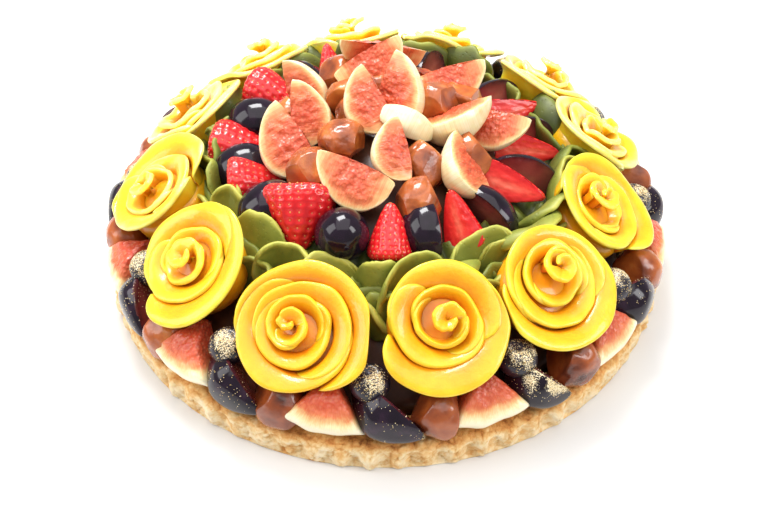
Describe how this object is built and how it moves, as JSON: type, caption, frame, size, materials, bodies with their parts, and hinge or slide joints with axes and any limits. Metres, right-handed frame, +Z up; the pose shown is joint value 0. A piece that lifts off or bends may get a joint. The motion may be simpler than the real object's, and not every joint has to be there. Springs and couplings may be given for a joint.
{
  "type": "fresh fruit tart",
  "caption": "Round domed fruit tart with mango roses, green cream frills, strawberries, grapes and fig wedges on a fluted shortcrust shell.",
  "frame": {"origin": "centre of the crust's underside", "axes": "+Z up, -Y towards the shown front"},
  "size_m": [0.2466, 0.2466, 0.0981],
  "materials": {
    "shortcrust": "baked shortcrust, dry and crumbly",
    "filling": "set filling, satin",
    "mango": "glazed ripe mango",
    "fig": "glazed cut fig with cream rind",
    "strawberry": "glazed strawberry",
    "grape": "glazed black grape",
    "chestnut": "candied chestnut in clear glaze",
    "back_fruit": "glazed fig wedges and candied chestnuts",
    "pistachio_cream": "piped green cream, satin",
    "rim_fruit": "glazed figs, grapes, chestnuts and berries with fine gold powder"
  },
  "bodies": {
    "root": {"crust": "shortcrust", "filling": "filling", "rose_01": "mango", "rose_02": "mango", "rose_03": "mango", "rose_04": "mango", "rose_05": "mango", "rose_06": "mango", "rose_07": "mango", "rose_08": "mango", "rose_09": "mango", "rose_10": "mango", "rose_11": "mango", "rose_12": "mango", "fig_01": "fig", "fig_02": "fig", "fig_03": "fig", "fig_04": "fig", "fig_05": "fig", "fig_06": "fig", "fig_07": "fig", "fig_08": "fig", "fig_09": "fig", "fig_10": "fig", "fig_11": "fig", "fig_12": "fig", "fig_13": "fig", "strawberry_01": "strawberry", "grape_01": "grape", "strawberry_02": "strawberry", "grape_02": "grape", "strawberry_03": "strawberry", "grape_03": "grape", "strawberry_04": "strawberry", "grape_04": "grape", "strawberry_05": "strawberry", "grape_05": "grape", "strawberry_06": "strawberry", "grape_06": "grape", "strawberry_07": "strawberry", "grape_07": "grape", "strawberry_08": "strawberry", "grape_08": "grape", "strawberry_09": "strawberry", "grape_09": "grape", "strawberry_10": "strawberry", "grape_10": "grape", "strawberry_11": "strawberry", "grape_11": "grape", "strawberry_12": "strawberry", "grape_12": "grape", "chestnut_01": "chestnut", "chestnut_02": "chestnut", "chestnut_03": "chestnut", "chestnut_04": "chestnut", "chestnut_05": "chestnut", "chestnut_06": "chestnut", "back_fruit": "back_fruit", "cream_frill": "pistachio_cream", "rim_fruit": "rim_fruit"}
  },
  "joints": []
}
